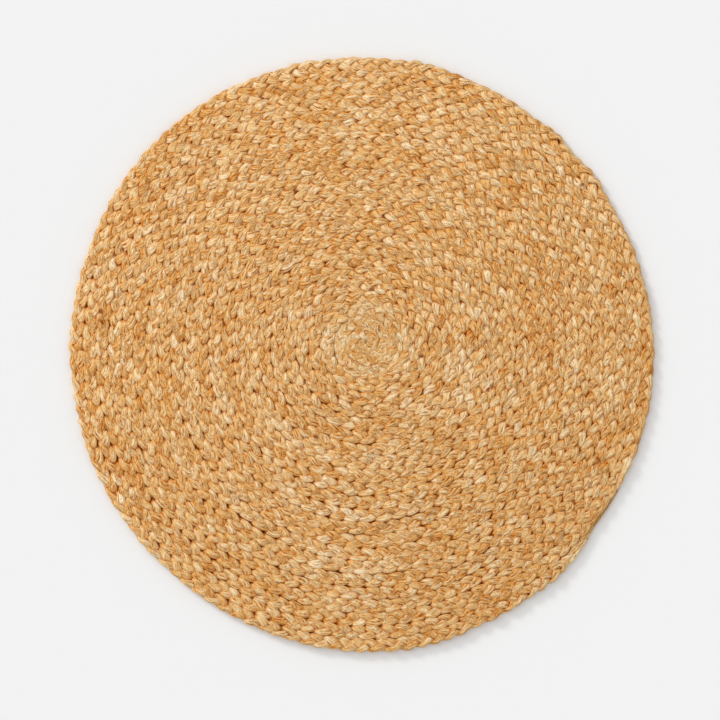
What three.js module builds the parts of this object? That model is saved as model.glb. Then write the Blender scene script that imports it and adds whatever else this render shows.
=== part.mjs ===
// A round placemat made of one flat three-strand jute braid.
// The braid is coiled from the centre outwards and sewn edge to edge into one stiff sheet.
// Millimetres, +Z up. The flat lands of the underside lie on z = 0 and the plan is centred.

import * as THREE from 'three';

// Driving dimensions of the coil
const TURNS = 24;
const END_RADIUS = 196.1;
const END_ANGLE = 334;
const ROW_PITCH = END_RADIUS / TURNS;
const CENTRE_SHIFT = { x: 2.2, y: 7.4 };

// Each turn moves out by about half of the pitch in one stretch, the lane change
const LANE_START = 288;
const LANE_SPAN = 50;
const LANE_SHARE = 0.5;

// The rim isn't a true circle: waves round the outline, from the photographed mat
const RIM_WAVES = [
  { waves: 1, height: 1.69, phase: -67 },
  { waves: 2, height: 1.35, phase: 149 },
  { waves: 3, height: 0.56, phase: -40 },
  { waves: 4, height: 0.74, phase: -8 },
  { waves: 5, height: 0.56, phase: 42 },
];
const RIM_WAVES_FADE = 1.3;

// Cross-section of one row: how far across, and how far below the braid's full half thickness
const THICKNESS = 5.4;
const SECTION = {
  inner: { across: 0.3, drop: 0 },
  outer: { across: 0.7, drop: 0 },
  groove: { across: 1, drop: 1.3 },
  rimEdge: { across: 0.87, drop: 1.0 },
};

// Lobes where the strands bend back at the rim: how far along the lobe, and how far in
const RIM_LOBES = 124;
const LOBE_DEPTH = 1.0;
const LOBE_EDGE = [
  { along: 0, inset: 1 },
  { along: 0.25, inset: 0 },
  { along: 0.65, inset: 0.3 },
];
const RIM_EDGE_INSET_SHARE = 0.6;

// A few strands stand proud of the rim: direction, height and reach along the rim
const PROUD_STRANDS = [
  { angle: 37, height: 1.8, reach: 4 },
  { angle: 48, height: 1.6, reach: 3 },
  { angle: 78, height: 1.3, reach: 3 },
  { angle: 102, height: 1.1, reach: 3 },
  { angle: 178, height: 0.7, reach: 3 },
  { angle: 283, height: 0.9, reach: 8 },
  { angle: 310, height: 0.9, reach: 6 },
];

// The outer end is combed out, tapered and laid against the row before it
const TAPER = [
  { before: 20, width: 1, height: 1 },
  { before: 14, width: 0.55, height: 0.85 },
  { before: 11, width: 0.28, height: 0.7 },
  { before: 0, width: 0.14, height: 0.5 },
];

// How far a facet along a row may cut inside the row's curve
const FACET_SAG = 0.5;

const FULL_TURN = 360;
const WOUND = TURNS * FULL_TURN;

function directionAt(wound) {
  return END_ANGLE + wound - WOUND;
}

// How far the lane change is ahead of an even spiral, in turns
function laneLead(direction) {
  const past = THREE.MathUtils.euclideanModulo(direction - LANE_START, FULL_TURN);
  const even = past / FULL_TURN;
  if (past < LANE_SPAN) {
    return LANE_SHARE * THREE.MathUtils.smoothstep(past, 0, LANE_SPAN) - even;
  }
  const rest = (past - LANE_SPAN) / (FULL_TURN - LANE_SPAN);
  return LANE_SHARE + (1 - LANE_SHARE) * rest - even;
}

function rimWave(direction) {
  return RIM_WAVES.reduce((sum, wave) => {
    const turned = THREE.MathUtils.degToRad(wave.waves * direction + wave.phase);
    return sum + wave.height * Math.cos(turned);
  }, 0);
}

// Radius of the seam outside the row that has been wound this far, in degrees
function seamRadius(wound) {
  if (wound <= 0) {
    return 0;
  }
  const reach = wound / WOUND;
  const direction = directionAt(wound);
  const lead = reach * (laneLead(direction) - laneLead(END_ANGLE));
  const wave = reach ** RIM_WAVES_FADE * rimWave(direction);
  return Math.max(0, ROW_PITCH * (wound / FULL_TURN + lead) + wave);
}

function taperAt(wound) {
  const before = WOUND - wound;
  const next = TAPER.findIndex((row) => row.before <= before);
  if (next === 0) {
    return TAPER[0];
  }
  const [a, b] = [TAPER[next - 1], TAPER[next]];
  const share = (a.before - before) / (a.before - b.before);
  return {
    width: THREE.MathUtils.lerp(a.width, b.width, share),
    height: THREE.MathUtils.lerp(a.height, b.height, share),
  };
}

function proudAt(direction) {
  return PROUD_STRANDS.reduce((sum, strand) => {
    const turned = direction - strand.angle + FULL_TURN / 2;
    const away = THREE.MathUtils.euclideanModulo(turned, FULL_TURN) - FULL_TURN / 2;
    return sum + strand.height * Math.exp(-((away / strand.reach) ** 2));
  }, 0);
}

// How far the rim stands out of its seam line, with its lobes
function rimRelief(wound, taper) {
  const lobe = ((wound - WOUND + FULL_TURN) / FULL_TURN) * RIM_LOBES;
  const along = THREE.MathUtils.euclideanModulo(lobe, 1);
  const stops = [...LOBE_EDGE, { along: 1, inset: LOBE_EDGE[0].inset }];
  const next = stops.findIndex((stop) => stop.along > along);
  const [a, b] = [stops[next - 1], stops[next]];
  const inset = THREE.MathUtils.mapLinear(along, a.along, b.along, a.inset, b.inset);
  return (proudAt(directionAt(wound)) - LOBE_DEPTH * inset) * taper.width;
}

// A point of the coil. `across` runs from 0 at the row's inner seam to 1 at its outer one.
// `level` runs from 1 on the top to -1 on the underside, and `relief` moves it outwards.
function coilPoint(wound, across, level, drop, relief = 0) {
  const taper = wound > WOUND - FULL_TURN ? taperAt(wound) : TAPER[0];
  const inside = seamRadius(wound - FULL_TURN);
  const width = (seamRadius(wound) - inside) * taper.width;
  const radius = inside + width * across + relief;
  const shift = 1 - radius / END_RADIUS;
  const angle = THREE.MathUtils.degToRad(directionAt(wound));
  const height = THICKNESS * (across > 0 ? taper.height : 1);
  const middle = height / 2;
  return new THREE.Vector3(
    radius * Math.cos(angle) + CENTRE_SHIFT.x * shift,
    radius * Math.sin(angle) + CENTRE_SHIFT.y * shift,
    middle + level * Math.max(middle - drop * taper.width, 0),
  );
}

const points = [];
const faces = [];

function addPoint(point) {
  points.push(point);
  return points.length - 1;
}

function addFace(a, b, c, level) {
  if (a === b || b === c || c === a) {
    return;
  }
  faces.push(level > 0 ? [a, b, c] : [a, c, b]);
}

// Fills the strip between two lines of stops that both run along a whole turn
function fillStrip(inner, outer, level) {
  let i = 0;
  let j = 0;
  while (i < inner.length - 1 || j < outer.length - 1) {
    const innerNext = i < inner.length - 1 ? inner[i + 1].share : Infinity;
    const outerNext = j < outer.length - 1 ? outer[j + 1].share : Infinity;
    if (innerNext < outerNext) {
      addFace(inner[i].index, outer[j].index, inner[i + 1].index, level);
      i += 1;
    } else {
      addFace(inner[i].index, outer[j].index, outer[j + 1].index, level);
      j += 1;
    }
  }
}

function facetsInTurn(turn) {
  const radius = ROW_PITCH * turn;
  return Math.ceil(Math.PI * Math.sqrt(radius / (2 * FACET_SAG)));
}

// One line of a turn, which starts at the point where the same line's last turn ended
function turnLine(turn, shares, firstIndex, place) {
  return shares.map((share, order) => {
    const index = order === 0 ? firstIndex : addPoint(place((turn - 1 + share) * FULL_TURN));
    return { share, index };
  });
}

function evenShares(count) {
  return Array.from({ length: count + 1 }, (_, order) => order / count);
}

function rimShares() {
  const shares = [];
  for (let lobe = 0; lobe < RIM_LOBES; lobe += 1) {
    LOBE_EDGE.forEach((stop) => shares.push((lobe + stop.along) / RIM_LOBES));
  }
  return [...shares, 1];
}

function lastOf(line) {
  return line[line.length - 1].index;
}

// The ribbed top or underside: returns its rim line and the points of the braid's end
function buildSide(level, centre) {
  let seam = [{ share: 0, index: centre }];
  const ends = { inner: centre, outer: centre, seam: centre };
  const isLast = (turn) => turn === TURNS;
  for (let turn = 1; turn <= TURNS; turn += 1) {
    const shares = evenShares(facetsInTurn(turn));
    const { inner, outer, groove, rimEdge } = SECTION;
    const innerLine = turnLine(turn, shares, ends.inner, (wound) =>
      coilPoint(wound, inner.across, level, inner.drop));
    const outerLine = turnLine(turn, shares, ends.outer, (wound) =>
      coilPoint(wound, outer.across, level, outer.drop));
    const nextSeam = isLast(turn)
      ? turnLine(turn, rimShares(), ends.seam, (wound) => {
        const relief = RIM_EDGE_INSET_SHARE * rimRelief(wound, taperAt(wound));
        return coilPoint(wound, rimEdge.across, level, rimEdge.drop, relief);
      })
      : turnLine(turn, shares, ends.seam, (wound) =>
        coilPoint(wound, groove.across, level, groove.drop));
    fillStrip(seam, innerLine, level);
    fillStrip(innerLine, outerLine, level);
    fillStrip(outerLine, nextSeam, level);
    seam = nextSeam;
    ends.inner = lastOf(innerLine);
    ends.outer = lastOf(outerLine);
    ends.seam = lastOf(nextSeam);
  }
  return { rim: seam, inner: ends.inner, outer: ends.outer };
}

// The wall round the rim, widest at half its height
function buildRim(top, underside) {
  const girth = rimShares().map((share) => {
    const wound = (TURNS - 1 + share) * FULL_TURN;
    const relief = share === 0 ? 0 : rimRelief(wound, taperAt(wound));
    return { share, index: addPoint(coilPoint(wound, 1, 0, 0, relief)) };
  });
  fillStrip(top.rim, girth, 1);
  fillStrip(underside.rim, girth, -1);
  return girth;
}

// The small face that closes the tapered end of the braid
function closeEnd(top, underside, girth) {
  const loop = [
    top.rim[0].index,
    top.inner,
    top.outer,
    lastOf(top.rim),
    lastOf(girth),
    lastOf(underside.rim),
    underside.outer,
    underside.inner,
    underside.rim[0].index,
  ];
  const hub = girth[0].index;
  for (let order = 0; order < loop.length - 1; order += 1) {
    addFace(hub, loop[order], loop[order + 1], 1);
  }
}

function centreInPlan() {
  const box = new THREE.Box3().setFromPoints(points);
  const middle = box.getCenter(new THREE.Vector3());
  points.forEach((point) => point.sub(new THREE.Vector3(middle.x, middle.y, box.min.z)));
}

function buildBraidCoil() {
  const topCentre = addPoint(coilPoint(0, 0, 1, SECTION.groove.drop));
  const undersideCentre = addPoint(coilPoint(0, 0, -1, SECTION.groove.drop));
  const top = buildSide(1, topCentre);
  const underside = buildSide(-1, undersideCentre);
  const girth = buildRim(top, underside);
  closeEnd(top, underside, girth);
  centreInPlan();
  const geometry = new THREE.BufferGeometry();
  const coordinates = points.flatMap((point) => point.toArray());
  geometry.setAttribute('position', new THREE.Float32BufferAttribute(coordinates, 3));
  geometry.setIndex(faces.flat());
  geometry.computeVertexNormals();
  const jute = new THREE.MeshStandardMaterial({ color: 0xd2a167, roughness: 0.85, metalness: 0 });
  const mesh = new THREE.Mesh(geometry, jute);
  mesh.name = 'braid_coil';
  return mesh;
}

const placemat = new THREE.Group();
placemat.name = 'jute_placemat';
placemat.add(buildBraidCoil());

export default placemat;
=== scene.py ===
import math
from collections import namedtuple

import bpy
import numpy as np
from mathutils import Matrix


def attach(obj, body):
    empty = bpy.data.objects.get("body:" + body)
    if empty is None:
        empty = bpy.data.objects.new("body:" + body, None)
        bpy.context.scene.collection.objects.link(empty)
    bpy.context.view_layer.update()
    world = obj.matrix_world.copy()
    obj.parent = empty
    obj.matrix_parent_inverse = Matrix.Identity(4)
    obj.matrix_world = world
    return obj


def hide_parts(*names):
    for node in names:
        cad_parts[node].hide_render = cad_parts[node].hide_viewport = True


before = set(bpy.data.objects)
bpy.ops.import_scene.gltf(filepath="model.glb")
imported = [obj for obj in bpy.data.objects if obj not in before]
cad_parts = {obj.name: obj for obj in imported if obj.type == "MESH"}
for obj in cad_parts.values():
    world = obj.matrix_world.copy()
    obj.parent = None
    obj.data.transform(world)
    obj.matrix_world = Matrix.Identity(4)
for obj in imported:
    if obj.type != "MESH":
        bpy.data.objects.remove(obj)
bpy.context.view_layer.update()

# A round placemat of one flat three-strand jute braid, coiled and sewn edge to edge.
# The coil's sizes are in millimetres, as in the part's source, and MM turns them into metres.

MM = 0.001
BODY = "root"
NODE = "braid_coil"
SEED = 71
FIBRE_SEEDS = (SEED + 100, SEED + 200)
HAIR_SEED = SEED + 300

# The coil, as in the part's source
TURNS = 24
END_RADIUS = 196.1
END_ANGLE = 334
ROW_PITCH = END_RADIUS / TURNS
# How far the coil's centre lies from the middle of its rim
CENTRE_SHIFT = (2.2, 7.4)
# Each turn moves out by about half of the pitch in one stretch, the lane change
LANE_START = 288
LANE_SPAN = 50
LANE_SHARE = 0.5
# Waves round the outline: how many, height, phase in degrees
RIM_WAVES = (
    (1, 1.69, -67),
    (2, 1.35, 149),
    (3, 0.56, -40),
    (4, 0.74, -8),
    (5, 0.56, 42),
)
RIM_WAVES_FADE = 1.3
THICKNESS = 5.4
# Degrees before the end, share of the width, share of the height
TAPER = ((20, 1, 1), (14, 0.55, 0.85), (11, 0.28, 0.7), (0, 0.14, 0.5))
# Direction, height, reach in degrees
PROUD_STRANDS = (
    (37, 1.8, 4),
    (48, 1.6, 3),
    (78, 1.3, 3),
    (102, 1.1, 3),
    (178, 0.7, 3),
    (283, 0.9, 8),
    (310, 0.9, 6),
)
FULL_TURN = 360
WOUND = TURNS * FULL_TURN
# Where the coil's origin lies from the middle of the mat's box
COIL_ORIGIN = (-0.02, 0.34)

# The braid: three strands that cross over a length of one period
STRANDS = 3
PERIOD = 28.6
STRAND_WIDTH = 5.8
STRAND_HEIGHT = 3.1
STEPS_IN_PERIOD = 18
# How far a strand rises off the mat's mid-plane where it crosses another
RISE = 1.25
# What stands further than the first off the mid-plane is pressed, to less than the second
PRESSED_FROM = 2.1
PRESSED_TO = 2.75
# How far inside the row's edge a strand's middle turns back, in the mat and at its rim
EDGE_MARGIN = 1.4
RIM_MARGIN = 2.85
LEAST_SWING = 0.12
# How much blunter than a sine wave the strands turn back
BLUNT_TURN = 0.05
# How much further they bend out at the rim, which makes its bumps
RIM_BUMP = 1.4
# Degrees over which the rim's own shape begins
RIM_FADE = 20
# The least and the most of an even row's width that a row fills, for its strands' size
LEAST_FULLNESS = 0.15
MOST_FULLNESS = 1.05

# A strand is wide and flat where it crosses, and pinched and tall where it bends back
CROSSING_WIDTH = 1.11
PINCH = 0.36
RIM_PINCH = 0.05
RIM_NARROWING = 0.15
BEND_HEIGHT = 0.42
BEND_POWER = 3
# Its cross-section is fuller than an ellipse: the powers of its cosine and sine
FULL_SIDEWAYS = 0.75
FULL_UPWARDS = 0.6
SIDES = 10
SIDE_ANGLES = 2 * np.pi * np.arange(SIDES) / SIDES

# What wanders along the braid: by how much, and with a knot every so many mm
Wander = namedtuple("Wander", "size spacing")
PHASE_SHARED = Wander(1.1, 17)
PHASE_OWN = Wander(0.6, 7)
SWING_OWN = Wander(0.05, 9)
ACROSS_SHARED = Wander(0.16, 23)
ACROSS_OWN = Wander(0.12, 6)
LEVEL_SHARED = Wander(0.12, 31)
LEVEL_OWN = Wander(0.10, 8)
WIDTH_SHORT = Wander(0.08, 7)
WIDTH_LONG = Wander(0.05, 60)
HEIGHT_OWN = Wander(0.07, 7)
LUMPS = Wander(0.06, 4.5)
TONE_SHORT = Wander(0.75, PERIOD / 2)
TONE_LONG = Wander(0.45, 90)

# The first rows, at the centre, are finer, thinner, calmer, paler and duller
CORE_RADIUS = 14
CORE_FADE = 16
CORE_FINENESS = 0.55
CORE_THINNING = 0.12
CORE_CALM = 0.8
CORE_TONE = 0.6
CORE_SHADE = 0.07

# The strands stop crossing at the tapered end and lie side by side, in degrees before it
COMBED_FROM = 22
COMBED_FADE = 6
# How far apart their middles lie, and each one's half width, of the row's half width
COMBED_APART = 0.55
COMBED_WIDTH = 0.5
# Each one's half height, of the row's height
COMBED_HEIGHT = 0.42

# Painted shade: the sides and the depths of the strands are painted darker, for the shade that
# falls there,
# but less so where they lie open: at the rim, also beside the thin tapered end, on the end
# itself, and in the flat centre
OPEN_BEFORE = 16
OPEN_FADE = 6
OPEN_STEEPNESS = 3
RIM_OPEN = 0.9
CORE_OPEN = 0.4
COMBED_OPEN = 0.85
EDGE_POWER = 5

# The fibres turn round their strand once in this length
FIBRE_TURN_LENGTH = 75
# How far apart two strands lie in the material's fibre coordinates
STRAND_SHIFT = 40
# The fibres over the strands are thin tubes of so many sides, and of so many rings of points
FIBRE_SIDES = 3
FIBRE_SECTION = np.radians([90, 210, 330])
FIBRE_RINGS = 4
HAIR_RINGS = 6

# The photograph: its scale, and where the middle of the mat's box lies in it
PHOTO_SIZE = 720
PHOTO_MM_PER_PIXEL = 0.647
PHOTO_MAT_PIXEL = (361.9, 354.8)

# Pixels of the photograph where a short stretch of strand is brown, orange or pale
BROWN_PIXELS = (
    (102, 322), (404, 384), (574, 502), (372, 289), (488, 390), (101, 311), (599, 460),
    (429, 179), (461, 302), (421, 356), (316, 437), (122, 250), (273, 226), (582, 184),
)
ORANGE_PIXELS = (
    (82, 370), (94, 406), (104, 430), (130, 468), (118, 492), (144, 513), (145, 179),
    (460, 255), (368, 244), (392, 327), (641, 349), (524, 126), (620, 247), (569, 167),
    (101, 317), (581, 467), (598, 464),
)
PALE_PIXELS = (
    (537, 456), (180, 505), (508, 398), (227, 282), (330, 463), (258, 378), (466, 401),
    (358, 519), (256, 336), (341, 131), (298, 138), (457, 306), (463, 369), (288, 437),
)
# How far from its pixel each of them reaches, and what it does to the tone
BROWN_REACH = 1.9
ORANGE_REACH = 4.2
PALE_REACH = 4.5
ORANGE_TONE = -1.5
PALE_TONE = 1.1
# Painted shade, for light that falls off from the upper left: how much darker the mat's colour
# is made at its lower right, as the camera sees it, than at its upper left
PAINTED_FALLOFF_SHADE = 0.13


def smooth(share):
    share = np.clip(share, 0, 1)
    return share * share * (3 - 2 * share)


def direction_at(wound):
    return END_ANGLE + wound - WOUND


def lane_lead(direction):
    past = np.mod(direction - LANE_START, FULL_TURN)
    rest = (past - LANE_SPAN) / (FULL_TURN - LANE_SPAN)
    gained = np.where(
        past < LANE_SPAN,
        LANE_SHARE * smooth(past / LANE_SPAN),
        LANE_SHARE + (1 - LANE_SHARE) * rest,
    )
    return gained - past / FULL_TURN


def seam_radius(wound):
    """Radius of the seam outside the row that has been wound this far, in degrees."""
    wound = np.maximum(wound, 0)
    reach = wound / WOUND
    direction = direction_at(wound)
    lead = reach * (lane_lead(direction) - lane_lead(END_ANGLE))
    wave = sum(
        height * np.cos(np.radians(waves * direction + phase))
        for waves, height, phase in RIM_WAVES
    )
    radius = ROW_PITCH * (wound / FULL_TURN + lead) + reach**RIM_WAVES_FADE * wave
    return np.maximum(radius, 0)


def taper_at(wound):
    """The row's share of its width and of its height."""
    reach, width, height = zip(*TAPER[::-1])
    before = WOUND - wound
    return np.interp(before, reach, width), np.interp(before, reach, height)


def proud_at(wound):
    direction = direction_at(wound)
    proud = 0
    for angle, height, reach in PROUD_STRANDS:
        away = np.mod(direction - angle + FULL_TURN / 2, FULL_TURN) - FULL_TURN / 2
        proud = proud + height * np.exp(-((away / reach) ** 2))
    return proud * (wound > WOUND - FULL_TURN)


def plan_place(radius, wound):
    shift = 1 - radius / END_RADIUS
    angle = np.radians(direction_at(wound))
    x = radius * np.cos(angle) + CENTRE_SHIFT[0] * shift + COIL_ORIGIN[0]
    y = radius * np.sin(angle) + CENTRE_SHIFT[1] * shift + COIL_ORIGIN[1]
    return np.stack([x, y], 1)


def pixel_place(pixel):
    """Where a pixel of the photograph lies on the mat, in mm."""
    x = (pixel[0] - PHOTO_MAT_PIXEL[0]) * PHOTO_MM_PER_PIXEL
    y = (PHOTO_MAT_PIXEL[1] - pixel[1]) * PHOTO_MM_PER_PIXEL
    return np.array([x, y])


def wander(along, kind, generator):
    """A smooth random line, of about the kind's size either way."""
    knots = generator.normal(size=int(np.max(along) / kind.spacing) + 4)
    place = along / kind.spacing
    whole = np.floor(place).astype(int)
    share = smooth(place - whole)
    return kind.size * (knots[whole] * (1 - share) + knots[whole + 1] * share)


class Coil:
    """The middle line of the braid, at even steps of its length."""

    END_GAP = 0.01

    def __init__(self):
        wound = np.linspace(0, WOUND, WOUND + 1)
        inside = seam_radius(wound - FULL_TURN)
        width, height = taper_at(wound)
        half = (seam_radius(wound) - inside) / 2 * width
        plan = plan_place(inside + half, wound)
        ahead = np.gradient(plan, axis=0)
        ahead /= np.hypot(*ahead.T)[:, None]
        length = np.concatenate([[0], np.cumsum(np.hypot(*np.diff(plan, axis=0).T))])

        count = int(length[-1] / PERIOD * STEPS_IN_PERIOD)
        self.along = np.linspace(self.END_GAP, length[-1] - self.END_GAP, count)
        self.step = self.along[1] - self.along[0]
        self.wound, self.half, self.height, radius, x, y, ahead_x, ahead_y = (
            np.interp(self.along, length, values)
            for values in (wound, half, height, inside + half, *plan.T, *ahead.T)
        )
        self.plan = np.stack([x, y], 1)
        self.outward = np.stack([ahead_y, -ahead_x], 1)

        past = self.wound - WOUND
        self.core = 1 - smooth((radius - CORE_RADIUS) / CORE_FADE)
        self.combed = smooth((COMBED_FROM + past) / COMBED_FADE)
        self.last_turn = smooth((past + FULL_TURN) / RIM_FADE)
        self.open_turn = smooth((past + FULL_TURN + OPEN_BEFORE) / OPEN_FADE)
        self.fullness = np.clip(self.half / (ROW_PITCH / 2), LEAST_FULLNESS, MOST_FULLNESS)
        # The mat's thickness here, as a share of the whole and in mm
        self.flat = self.height * (1 - CORE_THINNING * self.core)
        self.tall = THICKNESS * self.flat


class Strand:
    """One strand of the braid: its middle line, and the grid of points on its surface."""

    def __init__(self, coil, order):
        self.coil = coil
        self.order = order
        self.own = np.random.default_rng(SEED + order)
        self.shared = np.random.default_rng(SEED)
        self.lay_middle()
        self.fill_out()
        self.colour_in()

    def own_wander(self, kind):
        return wander(self.coil.along, kind, self.own)

    def shared_wander(self, kind):
        return wander(self.coil.along, kind, self.shared)

    def lay_middle(self):
        """Swings the middle line from side to side of its row, and over and under."""
        coil = self.coil
        cycles = np.cumsum(coil.step / (PERIOD * (1 - CORE_FINENESS * coil.core)))
        drift = self.shared_wander(PHASE_SHARED) + self.own_wander(PHASE_OWN)
        phase = 2 * np.pi * (cycles + drift / PERIOD + self.order / STRANDS)
        self.sine = np.sin(phase)
        self.at_rim = coil.last_turn * (self.sine > 0)

        margin = EDGE_MARGIN + (RIM_MARGIN - EDGE_MARGIN) * self.at_rim
        swing = np.maximum(coil.half - margin * coil.fullness, LEAST_SWING)
        swing = swing * (1 + self.own_wander(SWING_OWN))
        wave = (self.sine + BLUNT_TURN * np.sin(3 * phase)) / (1 - BLUNT_TURN)
        across = swing * wave + self.shared_wander(ACROSS_SHARED) + self.own_wander(ACROSS_OWN)
        bend_out = np.clip(self.sine, 0, 1)
        across = across + proud_at(coil.wound) * bend_out**2
        across = across + RIM_BUMP * coil.last_turn * bend_out**4
        combed_place = COMBED_APART * coil.half * (self.order - 1)
        across = across + (combed_place - across) * coil.combed

        rise = RISE * coil.flat * (1 - CORE_CALM * coil.core) * (1 - coil.combed)
        lift = self.shared_wander(LEVEL_SHARED) + self.own_wander(LEVEL_OWN)
        level = coil.tall / 2 - rise * np.sin(2 * phase) + lift
        self.centre = np.column_stack([coil.plan + coil.outward * across[:, None], level])

    def fill_out(self):
        """Puts a ring of points round each point of the middle line."""
        coil = self.coil
        tangent = np.gradient(self.centre, axis=0)
        tangent /= np.linalg.norm(tangent, axis=1)[:, None]
        side = np.column_stack([tangent[:, 1], -tangent[:, 0], np.zeros(len(tangent))])
        side /= np.linalg.norm(side, axis=1)[:, None]
        up = np.cross(side, tangent)

        bent = np.abs(self.sine) ** BEND_POWER
        pinched = CROSSING_WIDTH - (PINCH + RIM_PINCH * self.at_rim) * bent
        wide = STRAND_WIDTH / 2 * coil.fullness * pinched * (1 - RIM_NARROWING * self.at_rim)
        wide = wide * (1 + self.own_wander(WIDTH_SHORT) + self.own_wander(WIDTH_LONG))
        wide = wide + (COMBED_WIDTH * coil.half - wide) * coil.combed
        deep = STRAND_HEIGHT / 2 * coil.height * (1 + BEND_HEIGHT * bent)
        deep = deep * (1 + self.own_wander(HEIGHT_OWN))
        deep = deep + (COMBED_HEIGHT * coil.tall - deep) * coil.combed

        lumps = np.stack([1 + self.own_wander(LUMPS) for _ in range(SIDES)], 1)
        sideways = wide[:, None] * fuller(np.cos(SIDE_ANGLES), FULL_SIDEWAYS) * lumps
        upwards = deep[:, None] * fuller(np.sin(SIDE_ANGLES), FULL_UPWARDS) * lumps
        over = sideways[:, :, None] * side[:, None, :]
        above = upwards[:, :, None] * up[:, None, :]
        self.points = self.centre[:, None, :] + over + above
        self.points[:, :, 2] = pressed(self.points[:, :, 2], coil.flat[:, None])
        self.side = side
        self.wide = wide
        self.deep = deep

    def colour_in(self):
        """Works out what the material reads at each point."""
        coil = self.coil
        tone = self.own_wander(TONE_SHORT) + self.own_wander(TONE_LONG) + CORE_TONE * coil.core
        self.tone = np.repeat(tone, SIDES)
        # Painted shade: a strand's sides and depths are marked to be darker where they are
        # hidden, and less so where they lie open
        open_side = coil.open_turn * smooth(OPEN_STEEPNESS * self.sine)
        hidden = 1 - RIM_OPEN * open_side[:, None] * (np.cos(SIDE_ANGLES) > 0)
        hidden = hidden * (1 - CORE_OPEN * coil.core[:, None])
        hidden = hidden * (1 - COMBED_OPEN * coil.combed[:, None])
        self.edge = (hidden * np.abs(np.cos(SIDE_ANGLES)) ** EDGE_POWER).ravel()
        self.depth = (hidden * depth_in(self.points[:, :, 2], coil.tall[:, None])).ravel()
        turned = SIDE_ANGLES + (2 * np.pi * coil.along / FIBRE_TURN_LENGTH)[:, None]
        fibre = np.broadcast_arrays(
            coil.along[:, None],
            STRAND_WIDTH / 2 * np.cos(turned) + STRAND_SHIFT * self.order,
            STRAND_WIDTH / 2 * np.sin(turned),
        )
        self.fibre = np.stack(fibre, -1).reshape(-1, 3)


def fuller(share, power):
    return np.sign(share) * np.abs(share) ** power


def pressed(levels, flat):
    """Flattens what stands far off the mat's mid-plane, softly, on both faces."""
    middle = THICKNESS / 2 * flat
    start = PRESSED_FROM * flat
    room = (PRESSED_TO - PRESSED_FROM) * flat
    off = levels - middle
    over = np.maximum(np.abs(off) - start, 0)
    most = start + room * (1 - np.exp(-over / room))
    return np.clip(middle + np.sign(off) * np.minimum(np.abs(off), most), 0, None)


def depth_in(heights, tall):
    """How deep a point lies in the mat: 0 on either face, 1 halfway."""
    return 1 - np.abs(heights - tall / 2) / (tall / 2)


class Relief:
    """The heights of the mat's top and underside, on a fine grid over its plan."""

    CELL = 0.5
    REACH = 205
    CELLS = int(2 * REACH / CELL)
    # From one point of a strand's surface to the next in so many steps, to miss no cell
    SPLITS = 3

    def __init__(self, strands):
        top = np.zeros(self.CELLS**2)
        low = np.full(self.CELLS**2, THICKNESS)
        shares = np.arange(self.SPLITS) / self.SPLITS
        for strand in strands:
            for share in shares:
                rings = strand.points[:-1] * (1 - share) + strand.points[1:] * share
                for part in shares:
                    spots = rings * (1 - part) + np.roll(rings, -1, 1) * part
                    spots = spots.reshape(-1, 3)
                    cell = self.cell(spots[:, :2])
                    np.maximum.at(top, cell, spots[:, 2])
                    np.minimum.at(low, cell, spots[:, 2])
        self.top = self.spread(top, np.maximum)
        self.low = self.spread(low, np.minimum)

    def cell(self, plan):
        place = ((plan + self.REACH) / self.CELL).astype(int)
        place = np.clip(place, 0, self.CELLS - 1)
        return place[..., 1] * self.CELLS + place[..., 0]

    def levels(self, plan, way):
        """The mat's heights at places in its plan, on its top or its underside."""
        return (self.top if way > 0 else self.low)[self.cell(plan)]

    def spread(self, heights, choose):
        """Gives each cell the outermost height of the cells round it."""
        grid = heights.reshape(self.CELLS, self.CELLS)
        for axis in (0, 1):
            for way in (-1, 1):
                grid = choose(grid, np.roll(grid, way, axis))
        return grid.ravel()


def near_pixels(plan, pixels, reach):
    near = np.zeros(len(plan))
    for pixel in pixels:
        away = plan - pixel_place(pixel)
        near = np.maximum(near, np.exp(-(away**2).sum(1) / reach**2))
    return near


def place_colours(plan):
    """What the place on the mat adds: tone, a share of brown stain and a share of shade, which
    is painted shade falling off towards the lower right together with the duller centre.
    """
    tone = PALE_TONE * near_pixels(plan, PALE_PIXELS, PALE_REACH)
    tone = tone + ORANGE_TONE * near_pixels(plan, ORANGE_PIXELS, ORANGE_REACH)
    across = (plan[:, 0] - plan[:, 1]) / (math.sqrt(2) * END_RADIUS)
    # Painted shade: darker towards the lower right, for light that falls off from the upper
    # left
    shade = PAINTED_FALLOFF_SHADE * np.clip(0.5 + 0.5 * across, 0, 1)
    from_centre = np.hypot(*(plan - CENTRE_SHIFT - COIL_ORIGIN).T)
    shade = shade + CORE_SHADE * (1 - smooth((from_centre - CORE_RADIUS) / CORE_FADE))
    return tone, near_pixels(plan, BROWN_PIXELS, BROWN_REACH), shade


def jute_piece(name, points, faces, material, tone, edge, depth, fibre):
    """A mesh on the mat's body, with the attributes that the jute material reads."""
    mesh = bpy.data.meshes.new(name)
    mesh.from_pydata((points * MM).tolist(), [], faces)
    place_tone, stain, shade = place_colours(points[:, :2])
    shares = {
        "tone": tone + place_tone,
        "edge": edge,
        "depth": depth,
        "stain": stain,
        "shade": shade,
    }
    for key, values in shares.items():
        mesh.attributes.new(key, "FLOAT", "POINT").data.foreach_set("value", values)
    flat = fibre.astype(np.float32).ravel()
    mesh.attributes.new("fibre", "FLOAT_VECTOR", "POINT").data.foreach_set("vector", flat)
    mesh.polygons.foreach_set("use_smooth", [True] * len(mesh.polygons))
    mesh.materials.append(material)
    mesh.validate()
    piece = bpy.data.objects.new(name, mesh)
    bpy.context.scene.collection.objects.link(piece)
    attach(piece, BODY)
    return piece


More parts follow.
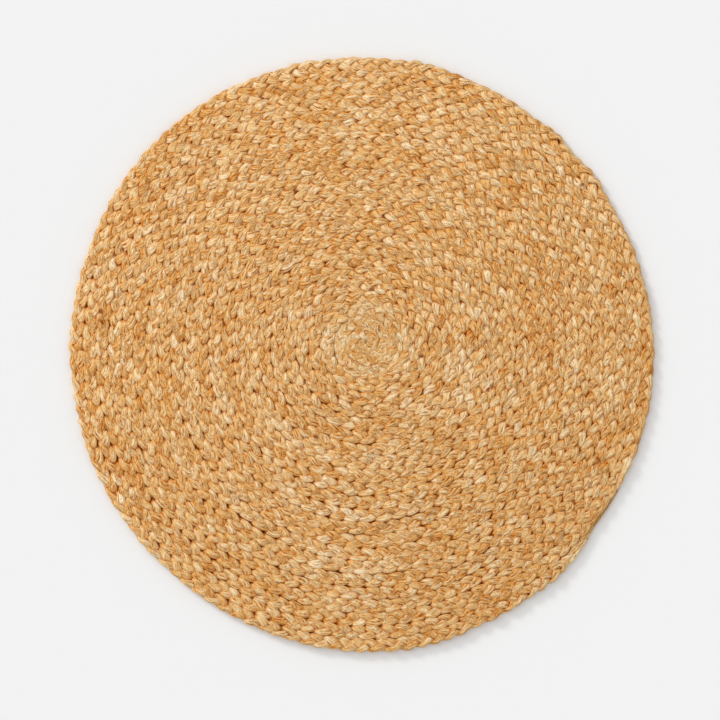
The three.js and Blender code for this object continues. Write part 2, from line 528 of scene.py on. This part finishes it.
def tube_faces(rings, sides, tubes=1):
    """The quads of closed tubes of rings of points, and then their end caps."""
    first = np.arange(tubes) * rings * sides
    ring = np.arange(rings - 1)[:, None] * sides
    side = np.arange(sides)[None, :]
    after = (side + 1) % sides
    quads = np.stack(
        [ring + side, ring + sides + side, ring + sides + after, ring + after], -1
    )
    quads = (first[:, None, None] + quads.reshape(-1, 4)).reshape(-1, 4)
    cap = np.arange(sides)
    starts = first[:, None] + cap
    ends = first[:, None] + (rings - 1) * sides + cap[::-1]
    return quads.tolist() + starts.tolist() + ends.tolist()


# Maps that lay each piece's surface out flat, so that an image can hold its colours


def cell_corners(low, high, start, end):
    """The corners of rectangles of a map, in the order of a tube's quads."""
    corners = [(start, low), (end, low), (end, high), (start, high)]
    return np.stack([np.stack(corner, -1) for corner in corners], -2)


def add_bake_map(piece, quads, caps):
    layer = piece.data.uv_layers.new(name="OFBake")
    values = np.concatenate([quads.reshape(-1, 2), caps.reshape(-1, 2)])
    layer.uv.foreach_set("vector", values.astype(np.float32).ravel())


def strand_map(piece, rings):
    """Lays the long strand out in rows, so that an image of it keeps its detail."""
    margin = 0.05
    stretch = 1.1
    length = rings * PERIOD / STEPS_IN_PERIOD
    girth = math.pi * (STRAND_WIDTH + STRAND_HEIGHT) / 2
    rows = math.ceil(math.sqrt(length / (girth * stretch)))
    in_row = math.ceil(rings / rows)
    ring = np.repeat(np.arange(rings - 1), SIDES)
    side = np.tile(np.arange(SIDES), rings - 1)
    row = ring // in_row
    start = (ring - row * in_row) / in_row
    low = (row + margin + side / SIDES * (1 - 2 * margin)) / rows
    high = (row + margin + (side + 1) / SIDES * (1 - 2 * margin)) / rows
    quads = cell_corners(low, high, start, start + 1 / in_row)
    # The two end caps are small ovals in the first row's margin
    wide = 0.5 / in_row
    tall = margin * 0.3 / rows
    oval = np.stack([np.cos(SIDE_ANGLES) * wide, np.sin(SIDE_ANGLES) * tall], 1)
    middles = np.array([[0.25, margin * 0.4 / rows], [0.75, margin * 0.4 / rows]])
    add_bake_map(piece, quads, middles[:, None, :] + oval)


def fibre_map(piece, tubes, rings):
    """Gives each fibre a cell of its own, with its end caps at the cell's top."""
    columns = math.ceil(math.sqrt(tubes))
    corner = np.stack(np.divmod(np.arange(tubes), columns), 1)[:, ::-1]
    ring = np.repeat(np.arange(rings - 1), FIBRE_SIDES)
    side = np.tile(np.arange(FIBRE_SIDES), rings - 1)
    sides_width = 0.75
    margin = 0.05
    quads = cell_corners(
        side * sides_width / FIBRE_SIDES,
        (side + 1) * sides_width / FIBRE_SIDES,
        ring / (rings - 1),
        (ring + 1) / (rings - 1),
    )
    quads = (corner[:, None, None, :] + margin + (1 - 2 * margin) * quads[None]) / columns
    cap = np.array([[0.1, 0.82], [0.3, 0.82], [0.2, 0.94]])
    next_cap = [0.5, 0]
    caps = np.stack([corner[:, None, :] + cap, corner[:, None, :] + cap + next_cap]) / columns
    add_bake_map(piece, quads, caps)


# Jute


class Nodes:
    """Short ways to add nodes to one material."""

    def __init__(self, name):
        self.material = bpy.data.materials.new(name)
        self.material.use_nodes = True
        self.tree = self.material.node_tree
        self.shader = self.tree.nodes["Principled BSDF"]

    def link(self, value, socket):
        if isinstance(value, bpy.types.NodeSocket):
            self.tree.links.new(value, socket)
        else:
            socket.default_value = value

    def attribute(self, name, output="Fac"):
        node = self.tree.nodes.new("ShaderNodeAttribute")
        node.attribute_name = name
        return node.outputs[output]

    def noise(self, vector, kind):
        stretched = self.tree.nodes.new("ShaderNodeVectorMath")
        stretched.operation = "MULTIPLY"
        self.link(vector, stretched.inputs[0])
        stretched.inputs[1].default_value = kind.stretch
        node = self.tree.nodes.new("ShaderNodeTexNoise")
        self.link(stretched.outputs["Vector"], node.inputs["Vector"])
        node.inputs["Scale"].default_value = kind.scale
        node.inputs["Detail"].default_value = 1
        node.inputs["Roughness"].default_value = 0.5
        return node.outputs["Fac"]

    def math(self, operation, first, second, third=None):
        node = self.tree.nodes.new("ShaderNodeMath")
        node.operation = operation
        self.link(first, node.inputs[0])
        self.link(second, node.inputs[1])
        if third is not None:
            self.link(third, node.inputs[2])
        return node.outputs[0]

    def remap(self, value, low, high, to_low, to_high):
        node = self.tree.nodes.new("ShaderNodeMapRange")
        self.link(value, node.inputs["Value"])
        node.inputs["From Min"].default_value = low
        node.inputs["From Max"].default_value = high
        node.inputs["To Min"].default_value = to_low
        node.inputs["To Max"].default_value = to_high
        return node.outputs["Result"]

    def ramp(self, value, stops):
        node = self.tree.nodes.new("ShaderNodeValToRGB")
        self.link(value, node.inputs["Fac"])
        while len(node.color_ramp.elements) < len(stops):
            node.color_ramp.elements.new(0.5)
        for element, (place, colour) in zip(node.color_ramp.elements, stops):
            element.position = place
            element.color = linear(colour)
        return node.outputs["Color"]

    def tint(self, colour, share, target):
        """Mixes a colour with a plain one by a share, in a node's own sockets for colours."""
        node = self.tree.nodes.new("ShaderNodeMix")
        node.data_type = "RGBA"
        first, second, mixed = node.inputs[6], node.inputs[7], node.outputs[2]
        self.link(share, node.inputs["Factor"])
        self.link(colour, first)
        second.default_value = linear(target)
        return mixed

    def bump(self, height, distance, strength):
        node = self.tree.nodes.new("ShaderNodeBump")
        node.inputs["Distance"].default_value = distance
        node.inputs["Strength"].default_value = strength
        self.link(height, node.inputs["Height"])
        return node.outputs["Normal"]


def linear(colour):
    """Linear light, with full alpha, from a colour in 0 to 255, as a screen shows it."""
    shares = [value / 255 for value in colour]
    light = [((s + 0.055) / 1.055) ** 2.4 if s > 0.04045 else s / 12.92 for s in shares]
    return (*light, 1)


# Noise in the fibre coordinates, of which the first runs along the fibres: how fast it changes
# in each, its scale, and what it adds to the tone. Wisps are loose fibres that lie any way.
Noise = namedtuple("Noise", "stretch scale contrast")
BUNDLES = Noise((0.12, 1.0, 1.0), 0.6, 0.5)
THREADS = Noise((0.22, 1.0, 1.0), 1.2, 1.45)
WISPS = Noise((0.8, 0.8, 0.8), 1.6, 0.8)
TONE_CONTRAST = 0.14

# The jute's colours, as a screen shows them, from its darkest to its palest tone
TONES = (
    (0.0, (188, 110, 38)),
    (0.25, (220, 157, 82)),
    (0.5, (232, 186, 122)),
    (0.75, (242, 210, 160)),
    (1.0, (250, 229, 192)),
)
# Colours of painted shade, for a strand's flanks, creases and sides, and for the gaps between
# fibres
PAINTED_FLANK_SHADE = (231, 146, 44)
PAINTED_CREASE_SHADE = (158, 68, 4)
PAINTED_SIDE_SHADE = (148, 60, 2)
PAINTED_GAP_SHADE = (172, 84, 8)
STAIN = (146, 68, 20)
# Black, mixed in for the painted shade towards the lower right and for the duller centre
BLACK = (0, 0, 0)
# Between which two values each of them comes in, and its share at the one and the other
FLANK_BY_DEPTH = (0.1, 0.6, 0.0, 0.65)
FLANK_BY_EDGE = (0.05, 0.4, 0.0, 0.52)
CREASE_BY_DEPTH = (0.45, 0.8, 0.0, 0.95)
SIDE_BY_EDGE = (0.32, 0.62, 0.0, 0.95)
GAP_BY_THREADS = (0.3, 0.37, 0.85, 0.0)
STAIN_BY_BUNDLES = (0.95, 1.3, 0.0, 0.85)
STAIN_GRAIN = 1.2
ROUGHNESS_BY_THREADS = (0.3, 0.7, 0.72, 0.5)
SPECULAR = 0.06
BUMP_DISTANCE = 1.0
BUMP_STRENGTH = 0.85


def jute_material():
    nodes = Nodes("jute")
    fibre = nodes.attribute("fibre", "Vector")
    depth = nodes.attribute("depth")
    edge = nodes.attribute("edge")
    bundles = nodes.noise(fibre, BUNDLES)
    threads = nodes.noise(fibre, THREADS)
    wisps = nodes.noise(fibre, WISPS)
    value = nodes.math("MULTIPLY_ADD", nodes.attribute("tone"), TONE_CONTRAST, 0.5)
    for noise, kind in ((bundles, BUNDLES), (threads, THREADS), (wisps, WISPS)):
        off_middle = nodes.math("SUBTRACT", noise, 0.5)
        value = nodes.math("MULTIPLY_ADD", off_middle, kind.contrast, value)
    colour = nodes.ramp(value, TONES)

    # Painted shade: the colour turns more orange at a strand's sides and below its top, and
    # brown at the bottom, for the warm shade that falls there
    by_depth = nodes.remap(depth, *FLANK_BY_DEPTH)
    by_edge = nodes.remap(edge, *FLANK_BY_EDGE)
    colour = nodes.tint(colour, nodes.math("MAXIMUM", by_depth, by_edge), PAINTED_FLANK_SHADE)
    colour = nodes.tint(colour, nodes.remap(depth, *CREASE_BY_DEPTH), PAINTED_CREASE_SHADE)
    colour = nodes.tint(colour, nodes.remap(edge, *SIDE_BY_EDGE), PAINTED_SIDE_SHADE)
    # Painted shade: thin dark lines here and there, for the shade in gaps between the fibres
    colour = nodes.tint(colour, nodes.remap(threads, *GAP_BY_THREADS), PAINTED_GAP_SHADE)
    # Stains follow the bundles of fibres
    grain = nodes.math("MULTIPLY_ADD", bundles, STAIN_GRAIN, nodes.attribute("stain"))
    colour = nodes.tint(colour, nodes.remap(grain, *STAIN_BY_BUNDLES), STAIN)
    # Painted shade: darker towards the lower right, as light falls off from the upper left,
    # and darker in the duller centre
    colour = nodes.tint(colour, nodes.attribute("shade"), BLACK)

    roughness = nodes.remap(threads, *ROUGHNESS_BY_THREADS)
    height = nodes.math("ADD", bundles, nodes.math("MULTIPLY_ADD", wisps, 0.5, threads))
    normal = nodes.bump(height, BUMP_DISTANCE * MM, BUMP_STRENGTH)
    nodes.link(colour, nodes.shader.inputs["Base Color"])
    nodes.link(roughness, nodes.shader.inputs["Roughness"])
    nodes.link(normal, nodes.shader.inputs["Normal"])
    nodes.shader.inputs["Specular IOR Level"].default_value = SPECULAR
    return nodes.material


# Strands


def build_strand(strand, order, material):
    rings = len(strand.points)
    piece = jute_piece(
        f"strand_{order + 1}",
        strand.points.reshape(-1, 3),
        tube_faces(rings, SIDES),
        material,
        strand.tone,
        strand.edge,
        strand.depth,
        strand.fibre,
    )
    strand_map(piece, rings)
    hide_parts(NODE)
    return piece


# Fibres over the strands. Top is the share of them on the mat's top, lift the most that they
# arch, and sunk how deep their ends lie. Those with a turn lie across the strands, at up to
# that many degrees, and bend by up to so many. The others lie along the strands.
FibreKind = namedtuple("FibreKind", "count top length radius turn bend lift sunk tone")
COMBED_FIBRES = FibreKind(
    count=8600, top=0.62, length=(5, 10), radius=(0.16, 0.34),
    turn=0, bend=0, lift=0.10, sunk=0.25, tone=0.2,
)
CROSSED_FIBRES = FibreKind(
    count=1300, top=0.7, length=(3, 8), radius=(0.10, 0.20),
    turn=70, bend=60, lift=0.15, sunk=0.30, tone=0.2,
)
HAIRS = FibreKind(
    count=1500, top=0.75, length=(6, 15), radius=(0.07, 0.12),
    turn=180, bend=110, lift=0.5, sunk=0.30, tone=0.5,
)
# How far off the mid-plane a strand's middle is where a fibre starts on it
STARTS_ABOVE = 0.3
# How far to the strand's side it lies at most, as a share, and how far it strays from there
FIBRE_ASIDE = 0.75
FIBRE_STRAY = 0.35
# Its thickness at its tips and its least lift, as shares, and how much its tone varies
FIBRE_TIP = 0.35
LEAST_LIFT = 0.2
FIBRE_TONE_SPREAD = 0.75
# Where it lies in the material's fibre coordinates: its length, half width and furthest start
FIBRE_COORDINATES = (8, 0.3, 60)
# The roundness of a strand's surface under it, as two powers
STRAND_ROUNDNESS = (2.7, 0.6)
FLOOR_GAP = 0.01
# Fibres that lie across the strands keep off the last turn, as long as this
RIM_CLEARANCE_ALONG = 2 * math.pi * 190
# Fibres that start on one strand: each one's ring of points, and how it lies from there
Starts = namedtuple("Starts", "ring offset length turn bend stray")


def lines_across(strand, relief, way, starts, share):
    """Plan lines of fibres across the strands, and their levels on the mat's relief."""
    centre = strand.centre[starts.ring, :2]
    side = strand.side[starts.ring, :2]
    heading = np.arctan2(side[:, 0], -side[:, 1]) + starts.turn
    heading = heading[:, None] + starts.bend[:, None] * share
    step = starts.length[:, None] / (len(share) - 1)
    walk = np.cumsum(np.stack([np.cos(heading), np.sin(heading)], -1) * step[..., None], 1)
    walk = walk - walk.mean(1, keepdims=True)
    lines = (centre + side * starts.offset[:, None])[:, None, :] + walk
    heights = relief.levels(lines, way)
    level = heights.copy()
    level[:, 1:-1] = (heights[:, :-2] + 2 * heights[:, 1:-1] + heights[:, 2:]) / 4
    return lines, level


def lines_along(strand, way, starts, share):
    """Plan lines of fibres on a strand's own surface, also where it dives under the next.

    With them come their levels, and how far to the strand's side they lie.
    """
    coil = strand.coil
    ring = starts.ring[:, None] + share * starts.length[:, None] / coil.step
    just_inside = 1.001
    ring = np.clip(ring, 0, len(coil.along) - just_inside)
    whole = ring.astype(int)
    part = (ring - whole)[..., None]
    middle = strand.centre[whole] * (1 - part) + strand.centre[whole + 1] * part
    side = strand.side[whole] * (1 - part) + strand.side[whole + 1] * part
    shift = starts.offset[:, None] + starts.stray[:, None] * share
    lines = middle[..., :2] + side[..., :2] * shift[..., None]
    aside = np.clip(np.abs(shift) / strand.wide[whole], 0, 1)
    inner_power, outer_power = STRAND_ROUNDNESS
    bulge = strand.deep[whole] * (1 - aside**inner_power) ** outer_power
    level = pressed(middle[..., 2] + way * bulge, coil.flat[whole])
    return lines, level, aside


def fibre_lines(strands, relief, kind, way, count, rings, generator):
    """Lines of fibres that start on a strand where it lies on this face of the mat."""
    own = generator.integers(0, STRANDS, count)
    share = np.linspace(-0.5, 0.5, rings)
    length = generator.uniform(*kind.length, count)
    turn = np.radians(generator.uniform(-kind.turn, kind.turn, count))
    bend = np.radians(generator.uniform(-kind.bend, kind.bend, count))
    lines = np.zeros((count, rings, 2))
    level = np.zeros((count, rings))
    edge = np.zeros((count, rings))
    tall = np.zeros(count)
    along = np.zeros(count)
    for order, strand in enumerate(strands):
        coil = strand.coil
        mine = np.flatnonzero(own == order)
        usable = way * (strand.centre[:, 2] - coil.tall / 2) > STARTS_ABOVE
        if kind.turn:
            usable = usable & (coil.along < coil.along[-1] - RIM_CLEARANCE_ALONG)
        ring = generator.choice(np.flatnonzero(usable), len(mine))
        offset = generator.uniform(-FIBRE_ASIDE, FIBRE_ASIDE, len(mine)) * strand.wide[ring]
        stray = generator.normal(0, FIBRE_STRAY, len(mine))
        starts = Starts(ring, offset, length[mine], turn[mine], bend[mine], stray)
        along[mine] = coil.along[ring]
        tall[mine] = coil.tall[ring]
        if kind.turn:
            lines[mine], level[mine] = lines_across(strand, relief, way, starts, share)
        else:
            lines[mine], level[mine], aside = lines_along(strand, way, starts, share)
            # The fibre takes the painted side shade of the strand under it
            edge[mine] = aside**EDGE_POWER
    return lines, level, edge, along, tall


def fibre_tubes(strands, relief, kind, rings, generator):
    """Points, tones, edges, depths and fibre coordinates of the fibres on both faces."""
    share = np.linspace(0, 1, rings)
    arch = np.sqrt(4 * share * (1 - share))
    long, half_wide, furthest = FIBRE_COORDINATES
    parts = []
    on_top = round(kind.count * kind.top)
    for way, count in ((1, on_top), (-1, kind.count - on_top)):
        lines, even, edge, along, tall = fibre_lines(
            strands, relief, kind, way, count, rings, generator
        )
        lift = kind.lift * generator.uniform(LEAST_LIFT, 1, count)
        level = even + way * (lift[:, None] * arch - kind.sunk * (1 - arch))
        ahead = np.gradient(lines, axis=1)
        ahead /= np.maximum(np.linalg.norm(ahead, axis=2), 1e-6)[..., None]
        right = np.stack([ahead[..., 1], -ahead[..., 0], np.zeros(lines.shape[:2])], -1)
        radius = generator.uniform(*kind.radius, count)[:, None] * np.maximum(arch, FIBRE_TIP)
        centre = np.concatenate([lines, level[..., None]], 2)
        over = (radius[..., None] * np.cos(FIBRE_SECTION))[..., None] * right[:, :, None, :]
        points = centre[:, :, None, :] + over
        points[..., 2] += radius[..., None] * np.sin(FIBRE_SECTION)
        points[..., 2] = np.clip(points[..., 2], FLOOR_GAP, None)
        tone = kind.tone + generator.normal(0, FIBRE_TONE_SPREAD, count)
        start = generator.uniform(0, furthest, (count, 2))
        fibre = np.empty(points.shape)
        fibre[..., 0] = along[:, None, None] + (share * long)[None, :, None]
        fibre[..., 1] = start[:, 0, None, None] + np.cos(FIBRE_SECTION) * half_wide
        fibre[..., 2] = start[:, 1, None, None] + np.sin(FIBRE_SECTION) * half_wide
        tones = np.repeat(tone, rings * FIBRE_SIDES)
        edges = np.repeat(edge.ravel(), FIBRE_SIDES)
        depths = depth_in(points[..., 2], tall[:, None, None]).ravel()
        parts.append((points.reshape(-1, 3), tones, edges, depths, fibre.reshape(-1, 3)))
    return parts


def fibre_piece(name, tubes, rings, material):
    points, tone, edge, depth, fibre = [np.concatenate(part) for part in zip(*tubes)]
    count = len(points) // (rings * FIBRE_SIDES)
    faces = tube_faces(rings, FIBRE_SIDES, count)
    piece = jute_piece(name, points, faces, material, tone, edge, depth, fibre)
    fibre_map(piece, count, rings)
    return piece


def build_fibres(strands, relief, material):
    pieces = []
    for order, seed in enumerate(FIBRE_SEEDS, 1):
        generator = np.random.default_rng(seed)
        tubes = []
        for kind in (COMBED_FIBRES, CROSSED_FIBRES):
            tubes += fibre_tubes(strands, relief, kind, FIBRE_RINGS, generator)
        pieces.append(fibre_piece(f"surface_fibres_{order}", tubes, FIBRE_RINGS, material))
    generator = np.random.default_rng(HAIR_SEED)
    hairs = fibre_tubes(strands, relief, HAIRS, HAIR_RINGS, generator)
    pieces.append(fibre_piece("stray_hairs", hairs, HAIR_RINGS, material))
    return pieces


# Light, floor and camera, in metres and degrees

FLOOR_HALF = 6.0
FLOOR_GREY = 0.808
FLOOR_ROUGHNESS = 0.9
FLOOR_SPECULAR = 0.1
WORLD_STRENGTH = 0.8
# Both softboxes shine from the photograph's upper left
LIGHT_FROM = 225
CAMERA_HEIGHT = 2.0
CAMERA_SENSOR = 36


def build_floor():
    ways = ((-1, -1), (1, -1), (1, 1), (-1, 1))
    corners = [(x * FLOOR_HALF, y * FLOOR_HALF, 0) for x, y in ways]
    mesh = bpy.data.meshes.new("floor")
    mesh.from_pydata(corners, [], [(0, 1, 2, 3)])
    nodes = Nodes("pale_floor")
    nodes.shader.inputs["Base Color"].default_value = (FLOOR_GREY, FLOOR_GREY, FLOOR_GREY, 1)
    nodes.shader.inputs["Roughness"].default_value = FLOOR_ROUGHNESS
    nodes.shader.inputs["Specular IOR Level"].default_value = FLOOR_SPECULAR
    mesh.materials.append(nodes.material)
    floor = bpy.data.objects.new("floor", mesh)
    bpy.context.scene.collection.objects.link(floor)


def add_softbox(name, energy, spread, tilt):
    sun = bpy.data.lights.new(name, "SUN")
    sun.energy = energy
    sun.angle = math.radians(spread)
    lamp = bpy.data.objects.new(name, sun)
    lamp.rotation_euler = (math.radians(tilt), 0, math.radians(LIGHT_FROM))
    bpy.context.scene.collection.objects.link(lamp)


def build_light():
    world = bpy.data.worlds.new("studio")
    world.use_nodes = True
    background = world.node_tree.nodes["Background"]
    background.inputs["Color"].default_value = (1, 1, 1, 1)
    background.inputs["Strength"].default_value = WORLD_STRENGTH
    bpy.context.scene.world = world
    add_softbox("key_softbox", energy=1.18, spread=14, tilt=63)
    add_softbox("wide_softbox", energy=0.64, spread=60, tilt=50)


def build_camera():
    """Looks straight down, so that the picture shows what the photograph shows."""
    camera = bpy.data.cameras.new("camera")
    camera.sensor_width = CAMERA_SENSOR
    width = PHOTO_SIZE * PHOTO_MM_PER_PIXEL * MM
    camera.lens = camera.sensor_width * CAMERA_HEIGHT / width
    view = bpy.data.objects.new("camera", camera)
    x, y = pixel_place((PHOTO_SIZE / 2, PHOTO_SIZE / 2))
    view.location = (x * MM, y * MM, CAMERA_HEIGHT + THICKNESS * MM)
    bpy.context.scene.collection.objects.link(view)
    bpy.context.scene.camera = view


bpy.context.scene.view_settings.view_transform = "Standard"
build_camera()
build_light()
build_floor()
coil = Coil()
jute = jute_material()
strands = [Strand(coil, order) for order in range(STRANDS)]
relief = Relief(strands)
pieces = [build_strand(strand, order, jute) for order, strand in enumerate(strands)]
pieces += build_fibres(strands, relief, jute)
